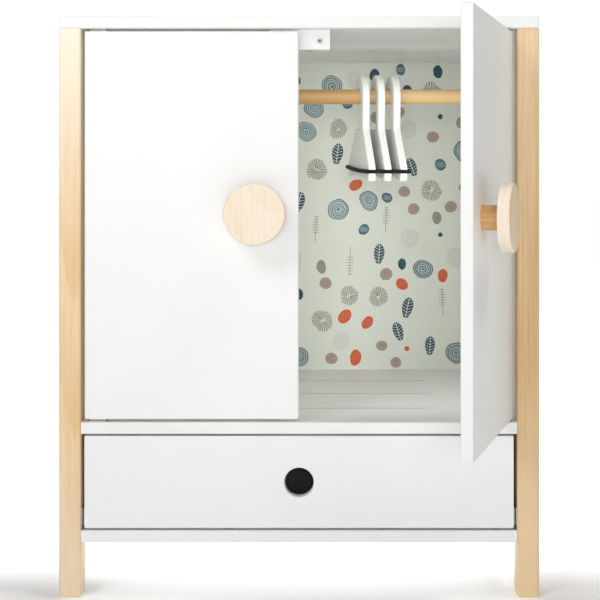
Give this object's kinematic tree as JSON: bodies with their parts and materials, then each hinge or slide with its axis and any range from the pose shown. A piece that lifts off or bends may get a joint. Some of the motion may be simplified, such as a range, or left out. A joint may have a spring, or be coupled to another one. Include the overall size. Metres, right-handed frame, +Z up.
{
  "type": "miniature wardrobe",
  "caption": "Dolls wardrobe with pine posts, white panels, hinged doors with round knobs, a tilt-down flap with a finger hole, and hangers on a rail.",
  "frame": {"origin": "on the floor, midway between the four feet", "axes": "+X to the right of someone facing the doors, +Y to the back, +Z up"},
  "size_m": [0.43, 0.4882, 0.52],
  "materials": {
    "white_paint": "satin white paint on board",
    "white_wood": "satin white paint on plywood",
    "printed_board": "matt printed paper on hardboard",
    "pine": "clear matt lacquer",
    "pale_wood": "clear matt lacquer",
    "beech": "raw",
    "steel": "zinc plated",
    "magnet": "nickel plated magnet",
    "elastic": "braided elastic cord"
  },
  "bodies": {
    "carcass": {"back_panel": "printed_board", "back_panel_screws": "steel", "bottom_panel": "white_paint", "carcass_screws": "steel", "clothes_rail": "pine", "door_magnets": "magnet", "door_stop_block": "white_paint", "flap_frame_leaf_left": "steel", "flap_frame_leaf_right": "steel", "flap_magnet": "magnet", "flap_stop_block": "white_paint", "frame_leaf_screws": "steel", "hinge_rivets": "steel", "left_frame_leaf_bottom": "steel", "left_frame_leaf_top": "steel", "middle_shelf": "white_paint", "post_front_left": "pine", "post_front_right": "pine", "post_rear_left": "pine", "post_rear_right": "pine", "right_frame_leaf_bottom": "steel", "right_frame_leaf_top": "steel", "side_panel_left": "white_paint", "side_panel_right": "white_paint", "stop_block_screws": "steel", "top_dowels": "beech", "top_panel": "white_paint"},
    "left_door": {"left_door_leaf_bottom": "steel", "left_door_leaf_screws": "steel", "left_door_leaf_top": "steel", "left_door_panel": "white_paint", "left_door_strike": "steel", "left_knob_disc": "pale_wood", "left_knob_screw": "steel", "left_knob_stem": "pine"},
    "right_door": {"right_door_leaf_bottom": "steel", "right_door_leaf_screws": "steel", "right_door_leaf_top": "steel", "right_door_panel": "white_paint", "right_door_strike": "steel", "right_knob_disc": "pale_wood", "right_knob_screw": "steel", "right_knob_stem": "pine"},
    "flap": {"flap_leaf_left": "steel", "flap_leaf_right": "steel", "flap_leaf_screws": "steel", "flap_panel": "white_paint", "flap_strike": "steel"},
    "hanger_1": {"hanger_1": "white_wood", "hanger_1_cord": "elastic"},
    "hanger_2": {"hanger_2": "white_wood", "hanger_2_cord": "elastic"},
    "hanger_3": {"hanger_3": "white_wood", "hanger_3_cord": "elastic"}
  },
  "joints": [
    {"name": "left_door_hinge", "type": "hinge", "parent": "carcass", "child": "left_door", "pos_m": [-0.1867, -0.15, 0.333], "axis": [0, 0, 1], "range_deg": [-110, 0]},
    {"name": "right_door_hinge", "type": "hinge", "parent": "carcass", "child": "right_door", "pos_m": [0.1867, -0.15, 0.333], "axis": [0, 0, 1], "range_deg": [-73, 37]},
    {"name": "flap_hinge", "type": "hinge", "parent": "carcass", "child": "flap", "pos_m": [0, -0.15, 0.0661], "axis": [1, 0, 0], "range_deg": [0, 95]},
    {"name": "hanger_1_swing", "type": "hinge", "parent": "carcass", "child": "hanger_1", "pos_m": [0.0589, 0, 0.459], "axis": [0.9863, 0.165, 0], "range_deg": [-12, 12]},
    {"name": "hanger_2_swing", "type": "hinge", "parent": "carcass", "child": "hanger_2", "pos_m": [0.0744, 0, 0.459], "axis": [0.9863, 0.165, 0], "range_deg": [-12, 12]},
    {"name": "hanger_3_swing", "type": "hinge", "parent": "carcass", "child": "hanger_3", "pos_m": [0.0899, 0, 0.459], "axis": [0.9863, 0.165, 0], "range_deg": [-12, 12]}
  ]
}
